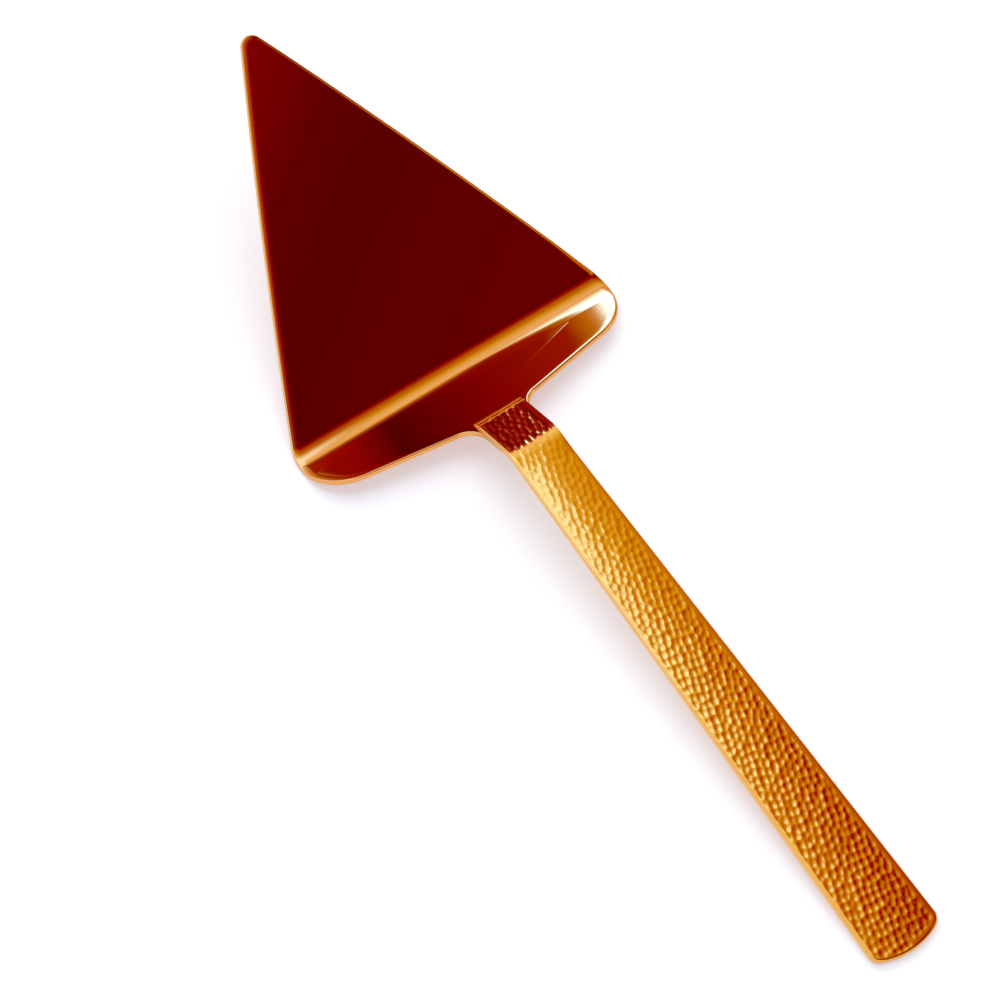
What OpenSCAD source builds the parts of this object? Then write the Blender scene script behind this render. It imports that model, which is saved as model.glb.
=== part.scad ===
// Cake server. A triangular blade is pressed from sheet, with a round heel bend and a riser
// that climbs to a tab. A hammered flat bar is the handle. Its rebated front end lies over
// the tab, and two plug welds through the tab hold the lap from beneath.
// Millimetres, +Z up, +Y towards the tip. The server lies as on a table: the heel bend and
// the end of the handle touch Z = 0, and the origin is under the middle of its length.

/* [Blade] */
// Thickness of the blade's sheet
sheet_t = 1.2; // [1:0.1:2]
// Width of the blade over its rounded rear corners
blade_w = 77; // [60:0.5:100]
// Reach of the blade from the middle of the heel bend to the tip, seen from above
blade_reach = 75.4; // [60:0.1:110]
// Angle between the blade and the table
blade_rise = 23.8; // [15:0.1:30]
// Radius of the rounded tip
tip_r = 2.6; // [1.5:0.1:6]
// Radius of the rounded rear corners
corner_r = 11; // [8:0.5:15]
// How far the centres of the rear corners lie behind the middle of the heel bend
corner_back = 0.6; // [0:0.1:4]
// Radius of the heel bend on its inside
heel_r = 9; // [6:0.5:12]

/* [Riser and tab] */
// Angle between the riser and the table
riser_rise = 25.2; // [18:0.1:32]
// Slant of the rear edge towards the neck, seen from above
rear_slant = 11; // [4:0.1:14]
// Radius between the rear edge and the tab
fillet_r = 5; // [2:0.5:8]
// Length of the tab behind the rear edge
tab_l = 8.5; // [7.5:0.1:12]

/* [Handle] */
// Thickness of the bar
bar_t = 2; // [1.8:0.1:3.5]
// Width of the neck and of the tab under it
neck_w = 11.5; // [9:0.1:14]
// Solid stretch of the neck between the end of the tab and the neck bend
neck_l = 2.6; // [1:0.1:8]
// Radius of the neck bend on its underside
neck_r = 1.5; // [1:0.1:6]
// Length of the handle from the neck bend to its end
handle_l = 126.2; // [90:0.1:170]
// Width of the handle over its end corners
handle_w = 16; // [12:0.1:22]
// Radius of the arc across the handle's end
end_r = 16; // [13:0.5:30]
// Radius of the handle's end corners
end_corner_r = 2.6; // [1.5:0.1:5]

/* [Lap joint] */
// How far the bar lies over the riser in front of the tab
lap_lead = 2.2; // [1:0.1:4]
// Length of the slope at the front of the bar
lap_slope = 3; // [2:0.1:6]
// Height of the bar's blunt front edge
lap_edge = 0.3; // [0.2:0.1:0.5]
// Depth of the rebate in the bar's underside that takes the tab
rebate_d = 1.2; // [0.8:0.1:1.4]
// Gap between the end of the tab and the rebate in the bar
lap_gap = 0.2; // [0.1:0.05:0.4]
// Diameter of the weld holes in the tab
plug_d = 2.6; // [2:0.1:3.4]
// Distance between the two weld holes
plug_pitch = 4; // [3.2:0.1:4.8]
// Gap round a plug weld in its hole
plug_gap = 0.05; // [0.02:0.01:0.1]

/* [Hidden] */
$fn = 96;

// Spare length of every cutting prism past the solid that it trims
spare = 5;
// How far a round stretch stands past the straight lines that it joins, so that they cross
arc_lap = 0.003;

// Heel bend: its axis runs across the server, one outside radius above the table
heel_out = heel_r + sheet_t;
heel_z = heel_out + arc_lap;

// Blade outline seen from above: centres of the tip and the right rear corner
tip_c = [0, blade_reach - tip_r];
corner_c = [blade_w / 2 - corner_r, -corner_back];
rear_n = [sin(rear_slant), -cos(rear_slant)];
rear_end = corner_c + corner_r * rear_n;
// Point where the two slanting rear edges would meet behind the heel
rear_mid = rear_end[1] - rear_end[0] * tan(rear_slant);

// Lengths along the riser, counted from the end of the heel bend
rear_u = (-rear_mid - heel_r * sin(riser_rise)) / cos(riser_rise);
tab_end_u = rear_u + tab_l;
rebate_u = tab_end_u + lap_gap;
front_u = rear_u - lap_lead;
bend_u = rebate_u + neck_l;
plug_u = rear_u + tab_l / 2;

// Heights of the bar's two faces on the neck, above the underside of the riser
bar_low = sheet_t - rebate_d;
bar_high = bar_low + bar_t;

// Neck bend: its axis lies under the bar. The handle falls until its end meets the table.
bend_arm = heel_out - bar_low + neck_r;
bend_y = -bend_u * cos(riser_rise) - bend_arm * sin(riser_rise);
bend_z = heel_z + bend_u * sin(riser_rise) - bend_arm * cos(riser_rise);
handle_fall = atan(neck_r / handle_l) + asin(bend_z / norm([handle_l, neck_r]));
end_y = bend_y - neck_r * sin(handle_fall) - handle_l * cos(handle_fall);

// Handle's end seen from above: the end arc, and the right corner that runs into it
end_c = [0, end_y + end_r];
end_corner_x = handle_w / 2 - end_corner_r;
end_corner_drop = sqrt(pow(end_r - end_corner_r, 2) - pow(end_corner_x, 2));
end_corner_c = [end_corner_x, end_c[1] - end_corner_drop];
flare_start = [neck_w / 2, bend_y];

// Sizes that the cutting prisms have to clear
cut_h = (blade_reach + heel_out) * tan(blade_rise) + heel_out + spare;
cut_w = blade_w + 2 * spare;
blade_arm = blade_reach / cos(blade_rise) + heel_out;
handle_arm = handle_l + end_r;
middle_y = (blade_reach + end_y) / 2;

function unit(angle) = [cos(angle), sin(angle)];
function flip(p) = [-p[0], p[1]];
function reversed(list) = [for (i = [len(list) - 1:-1:0]) list[i]];
// Right half of an outline, from front to back, with its mirror image
function both_sides(half) = concat(half, reversed([for (p = half) flip(p)]));
// Normal of the line that touches two circles on their right, from the rear one to the front one
function side_normal(rear_c, rear_r, front_c, front_r) =
    let (d = front_c - rear_c)
    unit(atan2(d[1], d[0]) - acos((rear_r - front_r) / norm(d)));

// Centres the finished piece over the origin
module in_frame() {
    translate([0, -middle_y, 0])
        children();
}

// Turns a side view, drawn as [y, z], into a block across the server
module across(width) {
    rotate([90, 0, 90])
        linear_extrude(width, center = true)
            children();
}

// Turns a view from above into an upright prism
module upright() {
    translate([0, 0, -spare])
        linear_extrude(cut_h + spare)
            children();
}

// Places what is drawn flat on the riser: -Y runs up the riser, and Z = 0 is its underside
module on_riser() {
    translate([0, 0, heel_z])
        rotate([-riser_rise, 0, 0])
            translate([0, 0, -heel_out])
                children();
}

// Repeats a right-hand shape on the left
module both_corners() {
    children();
    mirror([1, 0, 0])
        children();
}

// Everything on the inner side of a bend about X: a cylinder, and the two straight arms that
// leave it where its normals point along normal_1 and normal_2
module inside_bend(r, arm_l, normal_1, normal_2, width) {
    arm_1 = r * unit(normal_1);
    arm_2 = r * unit(normal_2);
    inner = -arm_l * unit((normal_1 + normal_2) / 2);
    across(width)
        circle(r + arc_lap);
    across(width)
        polygon([arm_1, arm_1 + arm_l * unit(normal_1 - 90), inner, arm_2 + arm_l * unit(normal_2 + 90),
                 arm_2]);
}

// Strip with one bend about X
module bent_strip(r_in, r_out, arm_l, normal_1, normal_2) {
    difference() {
        inside_bend(r_out, arm_l, normal_1, normal_2, cut_w);
        inside_bend(r_in, arm_l + spare, normal_1, normal_2, cut_w + 2 * spare);
    }
}

// Blade from above: three rounded corners, the rear edge and the tab
module blade_outline() {
    side_n = side_normal(corner_c, corner_r, tip_c, tip_r);
    tab_x = neck_w / 2;
    tab_y = rear_mid - tab_l - spare;
    upright()
        polygon(both_sides([tip_c + tip_r * side_n, corner_c + corner_r * side_n, corner_c, rear_end,
                            [tab_x, rear_mid + tab_x * tan(rear_slant)]]));
    upright()
        translate(tip_c)
            circle(tip_r + arc_lap);
    both_corners() {
        upright()
            translate(corner_c)
                circle(corner_r + arc_lap);
        tab_fillet();
    }
    upright()
        translate([-tab_x, tab_y])
            square([neck_w, -tab_y]);
}

// Rounded inside corner between the right rear edge and the tab
module tab_fillet() {
    x = neck_w / 2 + fillet_r;
    y = rear_mid + x * tan(rear_slant) - fillet_r / cos(rear_slant);
    touch = [x, y] - fillet_r * rear_n;
    upright()
        difference() {
            polygon([[0, y], [x, y], touch, [0, touch[1]]]);
            translate([x, y])
                circle(fillet_r + arc_lap);
        }
}

// Sheet from the side: the rising blade, the heel bend and the riser, which ends at the tab
module blade_strip() {
    difference() {
        translate([0, 0, heel_z])
            bent_strip(heel_r, heel_out, blade_arm, -90 - riser_rise, -90 + blade_rise);
        on_riser()
            across(cut_w + 2 * spare)
                translate([-tab_end_u - 2 * blade_arm, -spare])
                    square([2 * blade_arm, sheet_t + 2 * spare]);
    }
}

// Places a pin of the given diameter in each of the tab's two weld holes
module in_weld_holes(d, from_z, to_z) {
    on_riser()
        for (side = [-1, 1])
            translate([0, -plug_u + side * plug_pitch / 2, from_z])
                cylinder(d = d, h = to_z - from_z);
}

// Handle from above: the straight neck, the flare and the rounded end
module handle_outline() {
    side_n = side_normal(end_corner_c, end_corner_r, flare_start, 0);
    reach = 2 * (end_corner_c - end_c);
    upright()
        polygon(both_sides([[neck_w / 2, 0], flare_start, end_corner_c + end_corner_r * side_n,
                            end_corner_c]));
    both_corners()
        upright()
            translate(end_corner_c)
                circle(end_corner_r + arc_lap);
    upright()
        intersection() {
            translate(end_c)
                circle(end_r);
            polygon([end_c, end_c + reach, end_c + flip(reach)]);
        }
}

// Bar from the side: the rebated neck, the neck bend and the long fall to the table
module handle_strip() {
    difference() {
        translate([0, bend_y, bend_z])
            bent_strip(neck_r, neck_r + bar_t, handle_arm, 90 - riser_rise, 90 + handle_fall);
        on_riser()
            across(cut_w + 2 * spare)
                polygon([[-rebate_u, -spare], [-rebate_u, sheet_t], [-front_u, sheet_t],
                         [-front_u, sheet_t + lap_edge], [-front_u - lap_slope, bar_high],
                         [-front_u - lap_slope, bar_high + spare], [2 * handle_arm, bar_high + spare],
                         [2 * handle_arm, -spare]]);
    }
}

// Pressed sheet blade, with two weld holes in its tab
module blade() {
    color("#8A2F10")
        in_frame()
            difference() {
                intersection() {
                    blade_strip();
                    blade_outline();
                }
                in_weld_holes(plug_d, -spare, sheet_t + bar_t);
            }
}

// Flat bar handle, rebated underneath at the front to take the tab
module handle() {
    color("#D08A35")
        in_frame()
            intersection() {
                handle_strip();
                handle_outline();
            }
}

// Weld metal that fills the two holes, flush with the underside of the tab
module plug_welds() {
    color("#A86A3C")
        in_frame()
            in_weld_holes(plug_d - 2 * plug_gap, 0, sheet_t);
}

blade();
handle();
plug_welds();
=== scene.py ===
import math

import bpy
import numpy as np
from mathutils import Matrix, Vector


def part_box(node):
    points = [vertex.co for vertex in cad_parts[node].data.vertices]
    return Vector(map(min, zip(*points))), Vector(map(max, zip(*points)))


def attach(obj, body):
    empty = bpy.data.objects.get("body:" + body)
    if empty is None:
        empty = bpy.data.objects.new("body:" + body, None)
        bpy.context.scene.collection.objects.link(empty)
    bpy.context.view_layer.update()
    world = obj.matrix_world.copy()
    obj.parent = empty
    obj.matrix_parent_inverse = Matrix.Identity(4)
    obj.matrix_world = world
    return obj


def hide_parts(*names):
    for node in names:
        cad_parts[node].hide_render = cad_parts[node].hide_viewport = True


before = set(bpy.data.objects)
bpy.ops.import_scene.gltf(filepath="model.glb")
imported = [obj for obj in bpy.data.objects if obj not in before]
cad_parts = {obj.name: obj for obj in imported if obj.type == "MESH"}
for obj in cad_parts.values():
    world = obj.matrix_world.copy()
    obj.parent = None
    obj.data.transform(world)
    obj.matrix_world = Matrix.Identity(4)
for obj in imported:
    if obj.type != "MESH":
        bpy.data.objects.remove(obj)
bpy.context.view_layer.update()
bpy.ops.object.select_all(action="DESELECT")


# Blade: one stainless steel sheet, cut to a rounded triangle with a tab behind it and bent once
# across the heel. It is polished to a mirror on a mop and coated copper in a vacuum chamber.
# The riser behind the heel climbs to the handle, and two holes in the tab take the welds.
MM = 0.001
sheet_t = 1.2 * MM
blade_w = 77 * MM
blade_reach = 75.4 * MM
blade_rise = math.radians(23.8)
tip_r = 2.6 * MM
flank_r = 1300 * MM
corner_r = 11 * MM
corner_back = 0.6 * MM
heel_r = 9 * MM
riser_rise = math.radians(25.2)
rear_slant = math.radians(11)
fillet_r = 5 * MM
neck_w = 11.5 * MM
tab_l = 8.5 * MM
weld_hole_r = 1.3 * MM
weld_pitch = 4 * MM

# The heel bend's axis runs across the server, over the place where the sheet meets the table
heel_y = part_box("blade")[1].y - blade_reach
heel_z = heel_r + sheet_t
tip_centre = Vector((0, heel_y + blade_reach - tip_r, 0))
corner_centre = Vector((blade_w / 2 - corner_r, heel_y - corner_back, 0))


def toward(angle, length):
    """A step of the given length on the flat, at an angle from +X."""
    return Vector((math.cos(angle), math.sin(angle), 0)) * length


# The flanks bow out a little: each is a wide arc that runs into the tip and the corner
flank = corner_centre - tip_centre
tip_arm = flank_r - tip_r
flank_run = (tip_arm ** 2 - (flank_r - corner_r) ** 2 + flank.length ** 2) / (2 * flank.length)
flank_lean = math.atan2(flank.y, flank.x) - math.acos(flank_run / tip_arm)
flank_centre = tip_centre + toward(flank_lean, tip_arm)
tip_turn = flank_lean + math.pi
to_corner = corner_centre - flank_centre
corner_turn = math.atan2(to_corner.y, to_corner.x)

# The two rear edges slant back to the tab, and a fillet runs each of them into it
rear_turn = rear_slant - math.pi / 2
rear_corner = corner_centre + toward(rear_turn, corner_r)
rear_mid_y = rear_corner.y - rear_corner.x * math.tan(rear_slant)
fillet_x = neck_w / 2 + fillet_r
fillet_y = rear_mid_y + fillet_x * math.tan(rear_slant) - fillet_r / math.cos(rear_slant)
fillet_centre = Vector((fillet_x, fillet_y, 0))
rear_u = (heel_y - rear_mid_y - heel_r * math.sin(riser_rise)) / math.cos(riser_rise)
tab_end_u = rear_u + tab_l
tab_end_y = heel_y - tab_end_u * math.cos(riser_rise) - heel_r * math.sin(riser_rise)


def on_riser(x, u, height):
    """A point u along the riser from the heel bend, at a height above its underside."""
    lift = height - heel_r - sheet_t
    y = heel_y - u * math.cos(riser_rise) + lift * math.sin(riser_rise)
    z = heel_z + u * math.sin(riser_rise) + lift * math.cos(riser_rise)
    return Vector((x, y, z))


def draw_line(start, end):
    """Draws the outline on by one straight edge, from the selected vertex."""
    bpy.ops.mesh.extrude_region_move(TRANSFORM_OT_translate={"value": end - start})
    return end


def draw_arc(centre, start, turn, steps):
    """Draws the outline on by an arc about a centre, from the selected vertex."""
    bpy.ops.mesh.spin(steps=steps, angle=-turn, center=centre, axis=(0, 0, 1))
    arm = start - centre
    return centre + toward(math.atan2(arm.y, arm.x) + turn, arm.length)


def apply_modifier(piece, kind, **settings):
    """Adds one modifier to a piece and applies it."""
    modifier = piece.modifiers.new(kind.title(), kind)
    for name, value in settings.items():
        setattr(modifier, name, value)
    bpy.ops.object.modifier_apply(modifier=modifier.name)


# Half of the flat outline is drawn from the tip to the end of the tab, then mirrored and filled
tip_steps = 14
flank_steps = 40
corner_steps = 40
fillet_steps = 14
mirror_seam = 0.01 * MM
double_gap = 0.005 * MM
apex = Vector((0, heel_y + blade_reach, 0))
bpy.ops.mesh.primitive_plane_add(size=sheet_t, location=apex)
blade = bpy.context.object
blade.name = "blade_sheet"
bpy.ops.object.transform_apply(location=True)
bpy.ops.object.mode_set(mode="EDIT")
bpy.ops.mesh.merge(type="CENTER")
pen = draw_arc(tip_centre, apex, tip_turn - math.pi / 2, tip_steps)
pen = draw_arc(flank_centre, pen, corner_turn - tip_turn, flank_steps)
pen = draw_arc(corner_centre, pen, rear_turn - corner_turn, corner_steps)
pen = draw_line(pen, fillet_centre - toward(rear_turn, fillet_r))
pen = draw_arc(fillet_centre, pen, math.pi / 2 - rear_slant, fillet_steps)
pen = draw_line(pen, Vector((neck_w / 2, tab_end_y, 0)))
draw_line(pen, Vector((0, tab_end_y, 0)))
bpy.ops.object.mode_set(mode="OBJECT")
apply_modifier(blade, "MIRROR", use_mirror_merge=True, merge_threshold=mirror_seam)
bpy.ops.object.mode_set(mode="EDIT")
bpy.ops.mesh.select_all(action="SELECT")
bpy.ops.mesh.remove_doubles(threshold=double_gap)
bpy.ops.mesh.edge_face_add()
bpy.ops.mesh.normals_make_consistent(inside=False)
bpy.ops.object.mode_set(mode="OBJECT")
rim_line = np.array([[blade.data.vertices[i].co.xy for i in edge.vertices] for edge in blade.data.edges])

# Rings follow the rim inwards: close ones for the rounded edge, wider ones where the mop rolls it off
sheet_edge_r = 0.3 * MM
mop_roll_w = 1.5 * MM
edge_steps = 5
mop_steps = 7
last_ring_w = 0.3 * MM
rings = [sheet_edge_r * (1 - math.cos(math.pi / 2 * k / edge_steps)) for k in range(edge_steps + 1)]
rings += [sheet_edge_r + (mop_roll_w - sheet_edge_r) * k / mop_steps for k in range(1, mop_steps + 1)]
rings += [mop_roll_w + last_ring_w]
bpy.ops.object.mode_set(mode="EDIT")
bpy.ops.mesh.select_mode(type="FACE")
bpy.ops.mesh.select_all(action="SELECT")
for outer, inner in zip(rings, rings[1:]):
    bpy.ops.mesh.inset(thickness=inner - outer, use_even_offset=True)

# The sheet is scored across the heel bend, then folded up on both sides of it
heel_rows = 48
for row in range(heel_rows + 1):
    score_lean = -riser_rise + (blade_rise + riser_rise) * row / heel_rows
    score = (0, heel_y + heel_r * math.sin(score_lean), 0)
    bpy.ops.mesh.select_all(action="SELECT")
    bpy.ops.mesh.bisect(plane_co=score, plane_no=(0, 1, 0))
bpy.ops.object.mode_set(mode="OBJECT")


def sheet_height(y):
    """Height of the sheet's upper face at a place along the server."""
    front_y = heel_y + heel_r * math.sin(blade_rise)
    back_y = heel_y - heel_r * math.sin(riser_rise)
    if y > front_y:
        return heel_z - heel_r * math.cos(blade_rise) + (y - front_y) * math.tan(blade_rise)
    if y < back_y:
        return heel_z - heel_r * math.cos(riser_rise) + (back_y - y) * math.tan(riser_rise)
    return heel_z - math.sqrt(heel_r ** 2 - (y - heel_y) ** 2)


def from_rim(places):
    """Distance of each place on the flat sheet from its outline."""
    start, way = rim_line[:, 0], rim_line[:, 1] - rim_line[:, 0]
    gap = np.full(len(places), blade_w)
    for a, d in zip(start, way):
        share = np.clip(((places - a) @ d) / (d @ d), 0, 1)
        gap = np.minimum(gap, np.linalg.norm(places - a - share[:, None] * d, axis=1))
    return gap


def ease(low, high, value):
    """Runs smoothly from 0 at low to 1 at high."""
    t = np.clip((value - low) / (high - low), 0, 1)
    return t * t * (3 - 2 * t)


def rolled(gap, radius):
    """How far a rolled edge of this radius drops, at a distance from the rim."""
    inward = np.clip(radius - gap, 0, radius)
    return radius - np.sqrt(np.maximum(radius ** 2 - inward ** 2, 0))


def get_points(piece):
    """All vertex places of a piece, one row each."""
    points = np.empty(3 * len(piece.data.vertices))
    piece.data.vertices.foreach_get("co", points)
    return points.reshape(-1, 3)


# The upper face follows the fold, and three parts of its rim fade into each other: the right flank,
# the rear edge behind the heel, and the tab under the handle's neck
upper = get_points(blade)
upper[:, 2] = [sheet_height(y) for y in upper[:, 1]]
rim_gap_flat = from_rim(upper[:, :2])
fold = np.arcsin(np.clip((upper[:, 1] - heel_y) / heel_r, -math.sin(riser_rise), math.sin(blade_rise)))
face_way = np.stack([np.zeros(len(fold)), -np.sin(fold), np.cos(fold)], axis=1)
right_fade_from = -2 * MM
right_fade_to = 6 * MM
flank_fade_from = 6 * MM
flank_fade_to = 12 * MM
heel_fade = 5 * MM
tab_fade_from = 1.5 * MM
tab_fade_to = -2.5 * MM
right_half = ease(right_fade_from, right_fade_to, upper[:, 0])
right_flank = right_half * ease(heel_y + flank_fade_from, heel_y + flank_fade_to, upper[:, 1])
behind_heel = ease(heel_y, heel_y - heel_fade, upper[:, 1])
on_tab = ease(rear_mid_y + tab_fade_from, rear_mid_y + tab_fade_to, upper[:, 1])

# The rim of both faces is rounded: least on the right flank, most on the right of the rear edge
right_flank_edge_r = 0.08 * MM
rear_edge_r = 0.25 * MM
rear_right_edge_r = 0.45 * MM
tab_edge_r = 0.1 * MM
rear_r = np.where(upper[:, 0] > 0, rear_right_edge_r, rear_edge_r)
edge_r = sheet_edge_r + (right_flank_edge_r - sheet_edge_r) * right_flank
edge_r += (rear_r - edge_r) * behind_heel
edge_r += (tab_edge_r - edge_r) * on_tab
edge_drop = rolled(rim_gap_flat, edge_r)
lower_drop = rolled(rim_gap_flat, np.minimum(edge_r, sheet_edge_r))

# The mop has rolled the upper face off a little further in, but not on the tab
mop_roll_d = 0.13 * MM
right_roll_w = 0.8 * MM
right_roll_d = 0.1 * MM
rear_roll_d = 0.03 * MM
roll_w = mop_roll_w + (right_roll_w - mop_roll_w) * right_flank
roll_d = mop_roll_d + (right_roll_d - mop_roll_d) * right_flank
roll_d += (rear_roll_d - roll_d) * behind_heel
mop_drop = roll_d * np.clip(1 - rim_gap_flat / roll_w, 0, 1) ** 2 * (1 - on_tab)

# The folded sheet gets its thickness, and each face then takes its own edges
blade.data.vertices.foreach_set("co", upper.ravel())
if blade.data.polygons[0].normal.z < 0:
    blade.data.flip_normals()
apply_modifier(blade, "SOLIDIFY", thickness=sheet_t, offset=-1)
lower = upper - sheet_t * face_way + lower_drop[:, None] * face_way
upper -= (edge_drop + mop_drop)[:, None] * face_way
blade.data.vertices.foreach_set("co", np.concatenate([upper, lower]).ravel())
blade.data.update()

# Two holes are drilled through the tab, where the weld metal goes in from beneath
drill_sides = 48
drill_l = 4 * sheet_t
sheet_crease = math.radians(35)
large_face_weight = 100
weld_us = [rear_u + tab_l / 2 + side * weld_pitch / 2 for side in (-1, 1)]
for weld_u in weld_us:
    bpy.ops.mesh.primitive_cylinder_add(
        vertices=drill_sides, radius=weld_hole_r, depth=drill_l,
        location=on_riser(0, weld_u, sheet_t / 2), rotation=(-riser_rise, 0, 0))
    drill = bpy.context.object
    bpy.ops.object.select_all(action="DESELECT")
    bpy.context.view_layer.objects.active = blade
    blade.select_set(True)
    apply_modifier(blade, "BOOLEAN", object=drill, operation="DIFFERENCE", solver="EXACT")
    bpy.data.objects.remove(drill)
bpy.ops.object.shade_smooth_by_angle(angle=sheet_crease)
apply_modifier(blade, "WEIGHTED_NORMAL", mode="FACE_AREA", weight=large_face_weight, keep_sharp=True)


def linear(hex_colour):
    """Linear colour of an sRGB hex value."""
    channels = [int(hex_colour[i:i + 2], 16) / 255 for i in (1, 3, 5)]
    return [c / 12.92 if c <= 0.04045 else ((c + 0.055) / 1.055) ** 2.4 for c in channels] + [1]


def add_node(tree, kind, settings, sockets):
    """Adds one node: settings are its own options, sockets are its input values or links."""
    node = tree.nodes.new(kind)
    for name, value in settings.items():
        setattr(node, name, value)
    for name, value in sockets.items():
        if isinstance(value, bpy.types.NodeSocket):
            tree.links.new(value, node.inputs[name])
        else:
            node.inputs[name].default_value = value
    return node


def new_material(name):
    """An empty node material with its output, and the tree to build it in."""
    material = bpy.data.materials.new(name)
    material.use_nodes = True
    tree = material.node_tree
    tree.nodes.clear()
    return material, tree, tree.nodes.new("ShaderNodeOutputMaterial")


# Places of a colour mix node's two colours among its inputs, and of the mixed colour among its outputs
MIX_FIRST = 6
MIX_SECOND = 7
MIXED = 2

# Mirror-polished steel under a vacuum-coated copper film: deep reflections, with the faint haze of
# the polishing mop and hair lines that run along the blade. The hair lines are drawn coarser than
# real ones, so that they show.
copper_bright = "#E8A55F"
copper_deep = "#E29C56"
mop_haze_mm = 14
clear_roughness = 0.012
hazed_roughness = 0.026
hair_line_mm = 0.3
hair_stretch = 0.02
hair_depth_mm = 0.01
hair_strength = 0.06
mirror_copper, tree, output = new_material("copper_coated_steel_mirror_polished")
place = add_node(tree, "ShaderNodeTexCoord", {}, {}).outputs["Object"]
haze = add_node(tree, "ShaderNodeTexNoise", {}, {
    "Vector": place, "Scale": 1 / (mop_haze_mm * MM), "Detail": 4, "Roughness": 0.6})
lengthwise = add_node(tree, "ShaderNodeMapping", {}, {"Vector": place, "Scale": (1, hair_stretch, 1)})
hair = add_node(tree, "ShaderNodeTexNoise", {}, {
    "Vector": lengthwise.outputs["Vector"], "Scale": 1 / (hair_line_mm * MM), "Detail": 3})
tint = add_node(tree, "ShaderNodeMix", {"data_type": "RGBA"}, {
    "Factor": haze.outputs["Fac"], MIX_FIRST: linear(copper_deep), MIX_SECOND: linear(copper_bright)})
sheen = add_node(tree, "ShaderNodeMapRange", {}, {
    "Value": haze.outputs["Fac"], "From Min": 0.3, "From Max": 0.7,
    "To Min": clear_roughness, "To Max": hazed_roughness})
scratch = add_node(tree, "ShaderNodeBump", {}, {
    "Height": hair.outputs["Fac"], "Strength": hair_strength, "Distance": hair_depth_mm * MM})
metal = add_node(tree, "ShaderNodeBsdfPrincipled", {}, {
    "Base Color": tint.outputs[MIXED], "Metallic": 1, "Roughness": sheen.outputs["Result"],
    "Normal": scratch.outputs["Normal"]})
tree.links.new(metal.outputs["BSDF"], output.inputs["Surface"])
blade.data.materials.append(mirror_copper)
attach(blade, "root")
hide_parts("blade")


# Plug welds: two spots of weld metal that fill the holes in the tab and hold the handle's neck.
# Each is melted in from beneath and dressed nearly flush, so a low crown with a ripple is left.
plug_gap = 0.05 * MM
plug_r = weld_hole_r - plug_gap
plug_sides = 40
crown_h = 0.12 * MM
ripple_w = plug_r / 7
ripple_drops = [0.3, 0.25, -0.1, 0.3, 0.2]
lip_r = 0.08 * MM
lip_steps = 3
lip_angle = math.radians(60)
weld_crease = math.radians(40)
facing_down = -0.9
plugs = []
for weld_u in weld_us:
    bpy.ops.mesh.primitive_cylinder_add(vertices=plug_sides, radius=plug_r, depth=sheet_t)
    plug = bpy.context.object
    bpy.ops.object.mode_set(mode="EDIT")
    bpy.ops.mesh.select_mode(type="FACE")
    bpy.ops.mesh.select_all(action="DESELECT")
    bpy.ops.object.mode_set(mode="OBJECT")
    for face in plug.data.polygons:
        face.select = face.normal.z < facing_down
    bpy.ops.object.mode_set(mode="EDIT")
    for drop in ripple_drops:
        bpy.ops.mesh.inset(thickness=ripple_w, depth=drop * crown_h)
    bpy.ops.object.mode_set(mode="OBJECT")
    apply_modifier(plug, "BEVEL", width=lip_r, segments=lip_steps, limit_method="ANGLE",
                   angle_limit=lip_angle, use_clamp_overlap=False)
    plug.rotation_euler = (-riser_rise, 0, 0)
    plug.location = on_riser(0, weld_u, sheet_t / 2)
    bpy.ops.object.transform_apply(location=True, rotation=True)
    bpy.ops.object.shade_smooth_by_angle(angle=weld_crease)
    plugs.append(plug)
for plug in plugs:
    plug.select_set(True)
bpy.context.view_layer.objects.active = plugs[0]
bpy.ops.object.join()
welds = bpy.context.object
welds.name = "plug_weld_pair"

# Weld metal ground flush and coated with the rest: duller, with the grinder's fine grain
weld_copper = "#C98A48"
weld_shade = "#A86C38"
grinder_mm = 0.25
smooth_weld = 0.25
rough_weld = 0.45
pit_depth_mm = 0.05
pit_strength = 0.3
weld_metal, tree, output = new_material("copper_coated_weld_ground")
place = add_node(tree, "ShaderNodeTexCoord", {}, {}).outputs["Object"]
grain = add_node(tree, "ShaderNodeTexNoise", {}, {
    "Vector": place, "Scale": 1 / (grinder_mm * MM), "Detail": 5, "Roughness": 0.65})
tint = add_node(tree, "ShaderNodeMix", {"data_type": "RGBA"}, {
    "Factor": grain.outputs["Fac"], MIX_FIRST: linear(weld_shade), MIX_SECOND: linear(weld_copper)})
sheen = add_node(tree, "ShaderNodeMapRange", {}, {
    "Value": grain.outputs["Fac"], "To Min": smooth_weld, "To Max": rough_weld})
pits = add_node(tree, "ShaderNodeBump", {}, {
    "Height": grain.outputs["Fac"], "Strength": pit_strength, "Distance": pit_depth_mm * MM})
metal = add_node(tree, "ShaderNodeBsdfPrincipled", {}, {
    "Base Color": tint.outputs[MIXED], "Metallic": 1, "Roughness": sheen.outputs["Result"],
    "Normal": pits.outputs["Normal"]})
tree.links.new(metal.outputs["BSDF"], output.inputs["Surface"])
welds.data.materials.append(weld_metal)
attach(welds, "root")
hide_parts("plug_welds")
bpy.ops.object.select_all(action="DESELECT")


# Handle: a flat stainless bar with rolled edges, hammered all over its top with a narrow peen, then
# bent down at the neck. Its front end is filed to a slope, and a rebate beneath takes the tab.
# It flares evenly to a rounded end and is coated copper like the blade.
bar_t = 2 * MM
neck_l = 2.6 * MM
neck_bend_r = 1.5 * MM
handle_l = 126.2 * MM
handle_w = 16 * MM
end_r = 16 * MM
end_corner_r = 2.6 * MM
lap_lead = 2.2 * MM
lap_slope = 3 * MM
lap_gap = 0.2 * MM
rebate_d = 1.2 * MM
front_corner_r = 0.5 * MM
top_edge_r = 0.8 * MM

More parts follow.
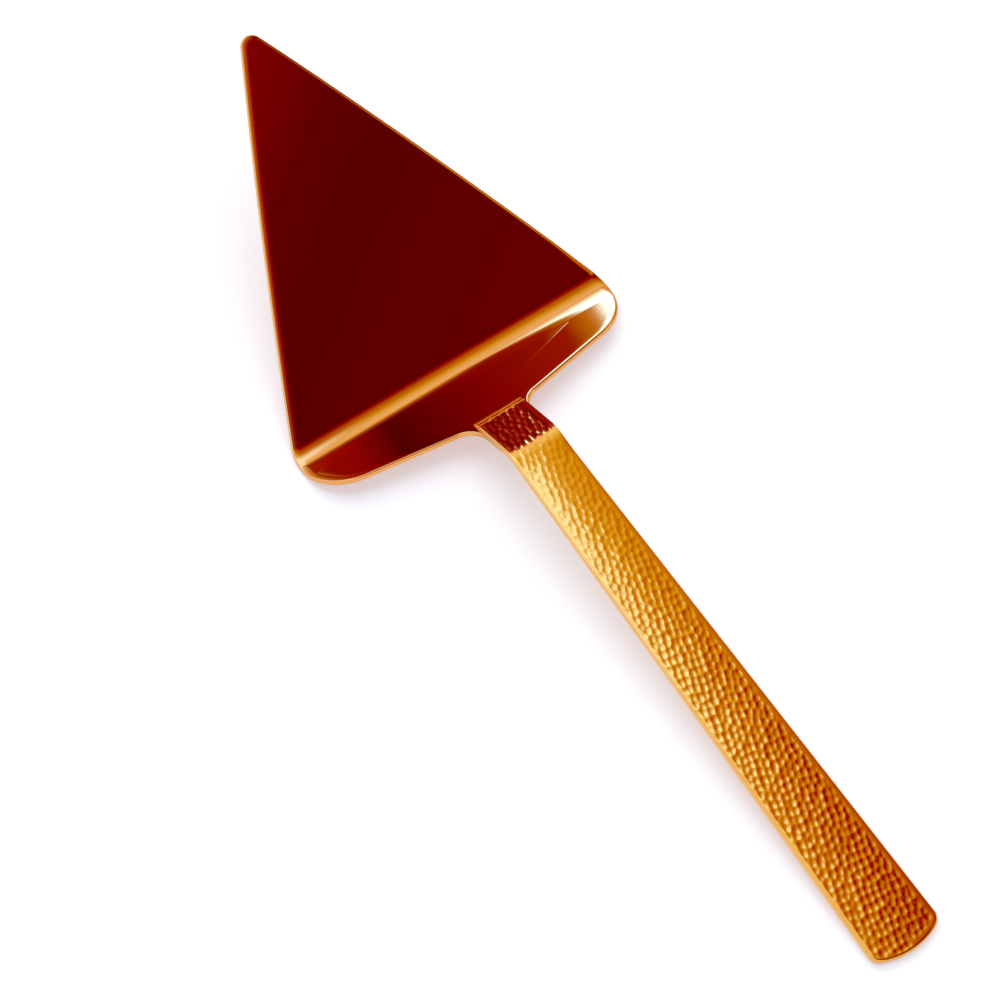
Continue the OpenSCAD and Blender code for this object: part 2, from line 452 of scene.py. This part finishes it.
front_u = rear_u - lap_lead
rebate_u = tab_end_u + lap_gap
bend_u = rebate_u + neck_l
bar_low = sheet_t - rebate_d
bar_high = bar_low + bar_t
bend_axis = on_riser(0, bend_u, bar_low - neck_bend_r)
bend_reach = math.hypot(handle_l, neck_bend_r)
handle_fall = math.atan(neck_bend_r / handle_l) + math.asin(bend_axis.z / bend_reach)
bend_turn = riser_rise + handle_fall
bend_r = neck_bend_r + bar_t / 2
flat_u = bend_u + bend_r * bend_turn
end_u = flat_u + handle_l

# Outline of the bar laid flat: its half width, its rounded front and its rounded end
end_corner_x = handle_w / 2 - end_corner_r
end_corner_drop = math.sqrt((end_r - end_corner_r) ** 2 - end_corner_x ** 2)
end_centre_u = end_u - end_r
end_corner_u = end_centre_u + end_corner_drop


def half_width(u):
    """Half the bar's width at a length along it."""
    flare = np.clip((u - bend_u) / (end_corner_u - bend_u), 0, 1)
    return neck_w / 2 + (handle_w - neck_w) / 2 * flare


def front_of(x):
    """Where the bar's front edge lies, at a distance from its middle line."""
    out = np.clip(np.abs(x) - (neck_w / 2 - front_corner_r), 0, front_corner_r)
    return front_u + front_corner_r - np.sqrt(front_corner_r ** 2 - out ** 2)


def end_of(x):
    """Where the bar's end lies, at a distance from its middle line."""
    touch_x = end_corner_x * end_r / (end_r - end_corner_r)
    arc = end_centre_u + np.sqrt(end_r ** 2 - np.minimum(np.abs(x), touch_x) ** 2)
    out = np.clip(np.abs(x) - end_corner_x, 0, end_corner_r)
    corner = end_corner_u + np.sqrt(end_corner_r ** 2 - out ** 2)
    return np.where(np.abs(x) < touch_x, arc, corner)


def rim_gap(x, u):
    """Distance of a place on the bar from its outline."""
    gap = half_width(u) - np.abs(x)
    corner = end_corner_r - np.hypot(np.maximum(np.abs(x) - end_corner_x, 0), u - end_corner_u)
    gap = np.where(u > end_corner_u, np.minimum(gap, corner), gap)
    in_arc = np.abs(x) * end_corner_drop < end_corner_x * (u - end_centre_u)
    gap = np.where(in_arc, end_r - np.hypot(x, u - end_centre_u), gap)
    inset = neck_w / 2 - front_corner_r
    front = front_corner_r - np.hypot(np.maximum(np.abs(x) - inset, 0),
                                      np.maximum(front_u + front_corner_r - u, 0))
    return np.maximum(np.where(u < front_u + front_corner_r, np.minimum(gap, front), gap), 0)


# Hammer blows: rows of narrow hollows that lie along the bar at a slant, each row with its own start.
# Each blow wanders a little from its place in the row, and some are harder than others.
blow_w = 1.35 * MM
blow_l = 1.75 * MM
blow_turn = math.radians(-72)
blow_depth = 0.055 * MM
blow_curve = 3.2
blow_soft = 0.006 * MM
blow_wander = 0.22
blow_extra = 0.4
blow_cells = 160
blow_seed = 7
blow_rng = np.random.default_rng(blow_seed)
blow_shift = blow_rng.uniform(-blow_wander, blow_wander, (blow_cells, blow_cells, 2))
blow_force = blow_rng.uniform(0, blow_extra, (blow_cells, blow_cells))
blow_lag = blow_rng.uniform(0, 1, blow_cells)


def hammered(x, u):
    """How far the hammer has sunk the surface, from the nearest blows at each place."""
    along = (x * math.cos(blow_turn) + u * math.sin(blow_turn)) / blow_l
    across = (-x * math.sin(blow_turn) + u * math.cos(blow_turn)) / blow_w
    column = np.floor(across)
    total = np.zeros_like(x)
    for step in (-1, 0, 1):
        col = column + step
        i = np.mod(col, blow_cells).astype(int)
        lag = blow_lag[i]
        place = np.floor(along - lag)
        for row_step in (-1, 0, 1):
            row = place + row_step
            j = np.mod(row, blow_cells).astype(int)
            d_across = across - col - 0.5 - blow_shift[i, j, 0]
            d_along = along - lag - row - 0.5 - blow_shift[i, j, 1]
            hollow = blow_depth * (blow_curve * (d_across ** 2 + d_along ** 2) - 1 - blow_force[i, j])
            total += np.exp(-hollow / blow_soft)
    return np.minimum(-blow_soft * np.log(total), 0)


# The bar starts as two flat grids, one for the top and one for the underside, bridged at the rim.
# They run from -1 to 1 each way, only to number their lines, which are moved to their places next.
inner_columns = 60
rim_columns = 6
inner_rows = 560
rim_rows = 6
columns = inner_columns + 2 * rim_columns
rows = inner_rows + 2 * rim_rows
bpy.ops.mesh.primitive_grid_add(x_subdivisions=columns, y_subdivisions=rows, size=2,
                                location=(0, 0, 0))
handle = bpy.context.object
handle.name = "hammered_bar"
bpy.ops.object.mode_set(mode="EDIT")
bpy.ops.mesh.select_all(action="SELECT")
bpy.ops.transform.translate(value=(0, 0, 1))
bpy.ops.mesh.select_all(action="DESELECT")
bpy.ops.mesh.primitive_grid_add(x_subdivisions=columns, y_subdivisions=rows, size=2,
                                location=(0, 0, -1))
bpy.ops.mesh.flip_normals()
bpy.ops.mesh.select_mode(type="EDGE")
bpy.ops.mesh.select_all(action="DESELECT")
bpy.ops.mesh.select_non_manifold()
bpy.ops.mesh.bridge_edge_loops()
bpy.ops.object.mode_set(mode="OBJECT")

# Each grid line goes to its place on the bar: fine lines over the rolled rim, even ones inside
flat = get_points(handle)
column = np.rint((flat[:, 0] + 1) / 2 * columns)
line = np.rint((flat[:, 1] + 1) / 2 * rows)
is_top = flat[:, 2] > 0


def rim_lines(index, rim_count, inner_count):
    """For each grid line: if it is on the rim, its inset there, and its share of the way across."""
    last = inner_count + 2 * rim_count
    lines_in = np.minimum(index, last - index)
    inset = top_edge_r * (1 - np.cos(math.pi / 2 * lines_in / rim_count))
    share = np.clip((index - rim_count) / inner_count, 0, 1)
    return lines_in < rim_count, inset, share


col_on_rim, col_inset, col_share = rim_lines(column, rim_columns, inner_columns)
row_on_rim, row_inset, row_share = rim_lines(line, rim_rows, inner_rows)


def across_bar(u):
    """Distance from the bar's middle line for every grid line, where the bar is at u."""
    half = half_width(u)
    inner = (2 * col_share - 1) * (half - top_edge_r)
    on_rim = np.sign(col_share - 0.5) * (half - col_inset)
    return np.where(col_on_rim, on_rim, inner)


u_front = front_of(across_bar(np.full(len(flat), front_u)))
u_end = end_of(across_bar(np.full(len(flat), end_u)))
u = u_front + top_edge_r + (u_end - u_front - 2 * top_edge_r) * row_share
u = np.where(row_on_rim & (row_share < 0.5), u_front + row_inset, u)
u = np.where(row_on_rim & (row_share > 0.5), u_end - row_inset, u)
x = across_bar(u)
gap = rim_gap(x, u)

# Heights over the underside of the riser: the filed slope and the rolled rim on top, and the rebate
# over the tab beneath. The left edge is rolled most, and the neck's right edge is left sharp.
front_edge_h = 0.12 * MM
right_edge_r = 0.35 * MM
neck_edge_r = 0.3 * MM
neck_right_edge_r = 0
end_edge_r = 0.45 * MM
under_edge_r = 0.35 * MM
rebate_edge_r = 0.05 * MM
edge_share = 0.8
neck_fade = 6 * MM
end_fade_from = 5 * MM
end_fade_to = 1 * MM
front_top = sheet_t + front_edge_h
top = front_top + (bar_high - front_top) * ease(front_u, front_u + lap_slope, u)
under = np.where(u < rebate_u, sheet_t, bar_low)
past_neck = ease(bend_u, flat_u + neck_fade, u)
neck_rim_r = np.where(x > 0, neck_right_edge_r, neck_edge_r)
side_rim_r = np.where(x > 0, right_edge_r, top_edge_r)
rim_r = neck_rim_r + (side_rim_r - neck_rim_r) * past_neck
rim_r += (end_edge_r - rim_r) * ease(end_u - end_fade_from, end_u - end_fade_to, u)
top_r = np.minimum(rim_r, edge_share * (top - under))
under_r = np.where(u < rebate_u, rebate_edge_r, under_edge_r)

# The blows are light on the neck and where the handle starts, and grow towards its end. A plain band
# is left along the rim, wider on the right. The top is crowned, and the underside lightly planished.
plain_left_w = 0.2 * MM
plain_right_w = 0.9 * MM
rim_fade = 0.9 * MM
front_plain_l = 0.6 * MM
front_full_l = 2 * MM
neck_share = 0.38
start_share = 0.34
light_l = 75 * MM
bend_fade = 1 * MM
crown = 0.2 * MM
under_share = 0.3
under_plain_w = 0.5 * MM
under_full_w = 1.7 * MM
under_fade = 2 * MM
plain_w = np.where(x > 0, plain_right_w, plain_left_w)
struck = ease(plain_w, plain_w + rim_fade, gap)
struck *= ease(front_u + front_plain_l, front_u + front_full_l, u)
handle_share = start_share + (1 - start_share) * ease(flat_u, flat_u + light_l, u)
past_bend = ease(bend_u - bend_fade, flat_u + bend_fade, u)
struck *= neck_share + (handle_share - neck_share) * past_bend
crowned = crown * past_neck * (x / half_width(u)) ** 2
height_top = top - rolled(gap, top_r) + struck * hammered(x, u) - crowned
planished = under_share * ease(under_plain_w, under_full_w, gap)
planished *= ease(rebate_u, rebate_u + under_fade, u)
height_under = under + rolled(gap, under_r) - planished * hammered(-x, u)
height = np.where(is_top, height_top, height_under)

# The hammered bar is bent down over an edge at the neck, so the bend is tight at first and then runs
# out softly. The bar's middle line is walked from the riser to the end in short steps.
bend_tail = 5.5 * MM
tail_power = 4
walk_step = 0.02 * MM
walk_spare = 1 * MM
tail_u = bend_u + bend_r * bend_turn / 2 - bend_tail / (tail_power + 1)
walk_u = np.arange(front_u - walk_spare, end_u + walk_spare, walk_step)


def bend_lean(u):
    """How far the bar leans from level at a length along it."""
    tail = np.clip((u - tail_u) / bend_tail, 0, 1)
    return riser_rise - bend_turn * (1 - (1 - tail) ** tail_power)


def walked(steps):
    """How far the walk has come at the start of each of its steps."""
    return np.concatenate([[0], np.cumsum(steps)])[:-1] * walk_step


walk_lean = bend_lean(walk_u + walk_step / 2)
walk_start = on_riser(0, walk_u[0], bar_low + bar_t / 2)
walk_y = walk_start.y - walked(np.cos(walk_lean))
walk_z = walk_start.z + walked(np.sin(walk_lean))
lean = bend_lean(u)
arm = height - bar_low - bar_t / 2
y = np.interp(u, walk_u, walk_y) + arm * np.sin(lean)
z = np.interp(u, walk_u, walk_z) + arm * np.cos(lean)
bar_crease = math.radians(60)
handle.data.vertices.foreach_set("co", np.stack([x, y, z], axis=1).ravel())
handle.data.update()
bpy.ops.object.shade_smooth_by_angle(angle=bar_crease)

# The same copper film over hammered steel: a soft satin that glints on the ridges between the blows,
# with slow clouds of a lighter and a deeper tone. The satin's grain is drawn coarser than the real
# one, so that it shows.
hammer_bright = "#F6BE64"
hammer_deep = "#E9A64C"
cloud_mm = 9
satin_mm = 0.35
satin_low = 0.05
satin_high = 0.08
satin_depth_mm = 0.03
satin_strength = 0.08
hammered_copper, tree, output = new_material("copper_coated_steel_hammered")
place = add_node(tree, "ShaderNodeTexCoord", {}, {}).outputs["Object"]
cloud = add_node(tree, "ShaderNodeTexNoise", {}, {
    "Vector": place, "Scale": 1 / (cloud_mm * MM), "Detail": 3})
satin = add_node(tree, "ShaderNodeTexNoise", {}, {
    "Vector": place, "Scale": 1 / (satin_mm * MM), "Detail": 4, "Roughness": 0.6})
tint = add_node(tree, "ShaderNodeMix", {"data_type": "RGBA"}, {
    "Factor": cloud.outputs["Fac"], MIX_FIRST: linear(hammer_deep), MIX_SECOND: linear(hammer_bright)})
sheen = add_node(tree, "ShaderNodeMapRange", {}, {
    "Value": satin.outputs["Fac"], "From Min": 0.3, "From Max": 0.7,
    "To Min": satin_low, "To Max": satin_high})
grain = add_node(tree, "ShaderNodeBump", {}, {
    "Height": satin.outputs["Fac"], "Strength": satin_strength, "Distance": satin_depth_mm * MM})
metal = add_node(tree, "ShaderNodeBsdfPrincipled", {}, {
    "Base Color": tint.outputs[MIXED], "Metallic": 1, "Roughness": sheen.outputs["Result"],
    "Normal": grain.outputs["Normal"]})
tree.links.new(metal.outputs["BSDF"], output.inputs["Surface"])
handle.data.materials.append(hammered_copper)
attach(handle, "root")
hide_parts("handle")
bpy.ops.object.select_all(action="DESELECT")


# Floor: a table top of matt white paper that runs past the picture. It looks white to the eye and in
# the metal, and keeps the soft shadow under the server.
floor_size = 6
floor_white = "#F4F4F6"
floor_cool = "#EEF4FF"
floor_glow = 0.37
bpy.ops.mesh.primitive_plane_add(size=floor_size, location=(0, 0, 0))
floor = bpy.context.object
floor.name = "table_top"
paper, tree, output = new_material("matt_white_paper")


def seen_rays(tree):
    """1 for what the camera, a reflection or glass sees, and 0 for light that falls on things."""
    ray = add_node(tree, "ShaderNodeLightPath", {}, {})
    mirror = add_node(tree, "ShaderNodeMath", {"operation": "MAXIMUM"}, {
        0: ray.outputs["Is Glossy Ray"], 1: ray.outputs["Is Transmission Ray"]})
    seen = add_node(tree, "ShaderNodeMath", {"operation": "MAXIMUM"}, {
        0: ray.outputs["Is Camera Ray"], 1: mirror.outputs[0]})
    return seen.outputs[0]


matt = add_node(tree, "ShaderNodeBsdfDiffuse", {}, {"Color": linear(floor_white)})
glow_level = add_node(tree, "ShaderNodeMath", {"operation": "MULTIPLY"}, {
    0: seen_rays(tree), 1: floor_glow})
glow = add_node(tree, "ShaderNodeEmission", {}, {
    "Color": linear(floor_cool), "Strength": glow_level.outputs[0]})
both = add_node(tree, "ShaderNodeAddShader", {}, {0: matt.outputs[0], 1: glow.outputs[0]})
tree.links.new(both.outputs[0], output.inputs["Surface"])
floor.data.materials.append(paper)


# Glowing panels: what the polished metal sees of the room, painted with the light and shade it reflects.
# A pale glowing ceiling darkens to deep red, a dark glowing screen with a strip light stands past the
# tip, and four glowing cards stand round the server. They show only in reflections.
panel_level = 1.04


def hang_panel(name, size, location, rotation):
    """A flat panel that only reflections see."""
    bpy.ops.mesh.primitive_plane_add(size=1, location=location, rotation=rotation)
    panel = bpy.context.object
    panel.name = name
    panel.scale = (size[0], size[1], 1)
    bpy.ops.object.transform_apply(location=False, rotation=False, scale=True)
    panel.visible_camera = False
    panel.visible_diffuse = False
    panel.visible_shadow = False
    panel.visible_volume_scatter = False
    return panel


def fade_colours(tree, value, stops):
    """Colours that fade into each other as a value runs from the first stop to the last."""
    low, high = stops[0][0], stops[-1][0]
    span = add_node(tree, "ShaderNodeMapRange", {}, {"Value": value, "From Min": low, "From Max": high})
    fade = add_node(tree, "ShaderNodeValToRGB", {}, {"Fac": span.outputs["Result"]})
    ramp = fade.color_ramp
    for at, colour in stops[1:-1]:
        ramp.elements.new((at - low) / (high - low)).color = linear(colour)
    ramp.elements[0].color = linear(stops[0][1])
    ramp.elements[-1].color = linear(stops[-1][1])
    return fade.outputs["Color"]


def soft_step(tree, value, start, end, first, last):
    """A value that eases from first to last between two places."""
    step = add_node(tree, "ShaderNodeMapRange", {"interpolation_type": "SMOOTHSTEP"}, {
        "Value": value, "From Min": start, "From Max": end, "To Min": first, "To Max": last})
    return step.outputs["Result"]


# The ceiling's glow fades along a slanting line, from white on one side to deep red on the other, as
# painted light and shade for the metal to reflect. The fade is shifted where it lies far over the handle,
# and a painted patch of cool light glows on it past the tip.
ceiling_size = (4.4, 6)
ceiling_place = (0.9, 0, 3)
ceiling_slant = (-0.8, 1, 0)
ceiling_stops = [(-1.3, "#700000"), (-0.95, "#620000"), (-0.85, "#680000"), (-0.7, "#8A0000"),
                 (-0.4, "#9E0E00"), (-0.1, "#C27000"), (0.3, "#D1A302"), (0.6, "#E7D336"),
                 (1.0, "#F7F3C2"), (1.3, "#FFFFFF"), (2.4, "#FFF2D0")]
ceiling_shift = 0.7
right_x = (1.12, 1.85)
right_y = (0.0, -0.6)
right_shift = 1.9
far_y = (-1.8, -2.7)
far_shift = 1.5
window_x = (0.76, 0.69)
window_y = (0.07, 0.8)
window_cool = "#5C9CFF"
window_level = 2.8
ceiling = hang_panel("ceiling_panel", ceiling_size, ceiling_place, (0, 0, 0))
panel_glow, tree, output = new_material("ceiling_panel_painted_glow")
spot = add_node(tree, "ShaderNodeNewGeometry", {}, {}).outputs["Position"]
axes = add_node(tree, "ShaderNodeSeparateXYZ", {}, {0: spot})
slant = add_node(tree, "ShaderNodeVectorMath", {"operation": "DOT_PRODUCT"}, {0: spot, 1: ceiling_slant})
right_rise = soft_step(tree, axes.outputs["X"], *right_x, 0, right_shift)
right_near = soft_step(tree, axes.outputs["Y"], *right_y, 0, 1)
far_rise = soft_step(tree, axes.outputs["Y"], *far_y, ceiling_shift, ceiling_shift + far_shift)
shifted = add_node(tree, "ShaderNodeMath", {"operation": "MULTIPLY_ADD"}, {
    0: right_rise, 1: right_near, 2: slant.outputs["Value"]})
shifted = add_node(tree, "ShaderNodeMath", {"operation": "ADD"}, {0: shifted.outputs[0], 1: far_rise})
tone = fade_colours(tree, shifted.outputs[0], ceiling_stops)
lit = add_node(tree, "ShaderNodeEmission", {}, {"Color": tone, "Strength": panel_level})
window_side = soft_step(tree, axes.outputs["X"], *window_x, 0, 1)
window_depth = soft_step(tree, axes.outputs["Y"], *window_y, 0, window_level)
window = add_node(tree, "ShaderNodeMath", {"operation": "MULTIPLY"}, {0: window_side, 1: window_depth})
daylight = add_node(tree, "ShaderNodeEmission", {}, {
    "Color": linear(window_cool), "Strength": window.outputs[0]})
both = add_node(tree, "ShaderNodeAddShader", {}, {0: lit.outputs[0], 1: daylight.outputs[0]})
tree.links.new(both.outputs[0], output.inputs["Surface"])
ceiling.data.materials.append(panel_glow)

# The screen past the tip glows with painted light and shade for the metal to reflect: dark red, amber at
# its left end and golden at its top, with a cool strip light that leans to the right and fades out
# upwards
screen_y = 1.0
screen_w = 1.1
screen_top = 1.62
screen_x = 0.45
screen_lean = (1, 0, -0.14)
screen_bulge = 0.016
bulge_z = (0.26, 0.42)
strip_on_x = (0.328, 0.338)
strip_off_x = (0.4, 0.5)
strip_z = (0.6, 1.5)
strip_level = 9
strip_cool = "#3893FF"
screen_stops = [(-0.1, "#FFFFFF"), (0.13, "#D0A030"), (0.153, "#A94600"), (0.172, "#A31400"),
                (0.188, "#9F0800"), (0.212, "#5C0000"), (0.264, "#8E0000"), (0.311, "#A62600"),
                (0.325, "#CDA312"), (0.334, "#FFFFFF"), (strip_off_x[0], "#FFFFFF"),
                (strip_off_x[1], "#F0D890")]
screen_rise = [(0.96, "#000000"), (1.05, "#9D2800"), (1.25, "#AB5800"), (1.4, "#CEA210"),
               (screen_top, "#F0F080")]
screen = hang_panel("back_screen", (screen_w, screen_top), (screen_x, screen_y, screen_top / 2),
                    (math.pi / 2, 0, 0))
panel_glow, tree, output = new_material("back_screen_painted_glow_and_strip_light")
spot = add_node(tree, "ShaderNodeNewGeometry", {}, {}).outputs["Position"]
axes = add_node(tree, "ShaderNodeSeparateXYZ", {}, {0: spot})
leaning = add_node(tree, "ShaderNodeVectorMath", {"operation": "DOT_PRODUCT"}, {0: spot, 1: screen_lean})
bulge = soft_step(tree, axes.outputs["Z"], *bulge_z, 0, screen_bulge)
sideways = add_node(tree, "ShaderNodeMath", {"operation": "ADD"}, {0: leaning.outputs["Value"], 1: bulge})
screen_tone = fade_colours(tree, sideways.outputs[0], screen_stops)
golden = fade_colours(tree, axes.outputs["Z"], screen_rise)
tone = add_node(tree, "ShaderNodeMix", {"data_type": "RGBA", "blend_type": "LIGHTEN"}, {
    "Factor": 1, MIX_FIRST: screen_tone, MIX_SECOND: golden})
lit = add_node(tree, "ShaderNodeEmission", {}, {"Color": tone.outputs[MIXED], "Strength": panel_level})
strip_on = soft_step(tree, sideways.outputs[0], *strip_on_x, 0, strip_level)
strip_off = soft_step(tree, sideways.outputs[0], *strip_off_x, 1, 0)
strip_tall = soft_step(tree, axes.outputs["Z"], *strip_z, 1, 0)
strip = add_node(tree, "ShaderNodeMath", {"operation": "MULTIPLY"}, {0: strip_on, 1: strip_off})
strip = add_node(tree, "ShaderNodeMath", {"operation": "MULTIPLY"}, {0: strip.outputs[0], 1: strip_tall})
tube = add_node(tree, "ShaderNodeEmission", {}, {
    "Color": linear(strip_cool), "Strength": strip.outputs[0]})
both = add_node(tree, "ShaderNodeAddShader", {}, {0: lit.outputs[0], 1: tube.outputs[0]})
tree.links.new(both.outputs[0], output.inputs["Surface"])
screen.data.materials.append(panel_glow)

# Four glowing cards, painted light and shade for the metal to reflect: a bright cool one on the left,
# warm ones on the right and behind the handle, and a dark one near the camera. Each row gives the name,
# size, place, turn, colour and level.
upright = math.pi / 2
cards = [("left_card", (0.8, 0.9), (-0.8, 0.55, 0.65), (upright, 0, upright), "#9EB9FF", 3.2),
         ("right_card", (1.1, 0.75), (0.98, 0.45, 0.375), (upright, 0, upright), "#D8B02C", 1),
         ("front_card", (1.3, 1.2), (0.4, -1.2, 0.6), (upright, 0, 0), "#CFA030", 1),
         ("camera_card", (0.5, 0.5), (-0.3, -0.42, 0.98), (0, 0, 0), "#300800", 1)]
for name, size, location, turn, colour, level in cards:
    card = hang_panel(name, size, location, turn)
    panel_glow, tree, output = new_material(name + "_painted_glow")
    lit = add_node(tree, "ShaderNodeEmission", {}, {"Color": linear(colour), "Strength": level})
    tree.links.new(lit.outputs[0], output.inputs["Surface"])
    card.data.materials.append(panel_glow)


# Light: one very large soft box overhead, and an even pale room round it. The room looks white to
# the camera and in reflections, and fills the shadows at a plain level.
box_size = 1.6
box_power = 12
box_place = Vector((0.3, 0.6, 1.3))
bpy.ops.object.light_add(type="AREA", location=box_place)
soft_box = bpy.context.object
soft_box.name = "soft_box"
soft_box.data.shape = "SQUARE"
soft_box.data.size = box_size
soft_box.data.energy = box_power
soft_box.visible_glossy = False
soft_box.rotation_euler = (-box_place).to_track_quat("-Z", "Y").to_euler()

room_fill = 0.5
room_cool = "#F2F6FF"
room_white = "#FFFFFF"
room = bpy.data.worlds.new("white_room")
bpy.context.scene.world = room
room.use_nodes = True
tree = room.node_tree
tree.nodes.clear()
output = tree.nodes.new("ShaderNodeOutputWorld")
fill = add_node(tree, "ShaderNodeBackground", {}, {"Color": linear(room_cool), "Strength": room_fill})
white = add_node(tree, "ShaderNodeBackground", {}, {"Color": linear(room_white), "Strength": 1})
mix = add_node(tree, "ShaderNodeMixShader", {}, {
    0: seen_rays(tree), 1: fill.outputs[0], 2: white.outputs[0]})
tree.links.new(mix.outputs[0], output.inputs["Surface"])


# Camera: stands behind and to the left of the handle and looks steeply down along the server. Its
# turn, rise, distance and aim were fitted to the outline of the server.
view_turn = math.radians(34.837)
view_rise = math.radians(61.962)
view_distance = 0.7197
view_aim = Vector((-12.255, heel_y / MM - 34.179, 11.187)) * MM
focal_mm = 129.6
sensor_mm = 36
near_clip = 0.01
outward = Vector((-math.sin(view_turn) * math.cos(view_rise),
                  -math.cos(view_turn) * math.cos(view_rise), math.sin(view_rise)))
bpy.ops.object.camera_add(location=view_aim + outward * view_distance)
camera = bpy.context.object
camera.rotation_euler = (-outward).to_track_quat("-Z", "Y").to_euler()
camera.data.lens = focal_mm
camera.data.sensor_width = sensor_mm
camera.data.clip_start = near_clip
bpy.context.scene.camera = camera
bpy.context.scene.view_settings.view_transform = "Standard"
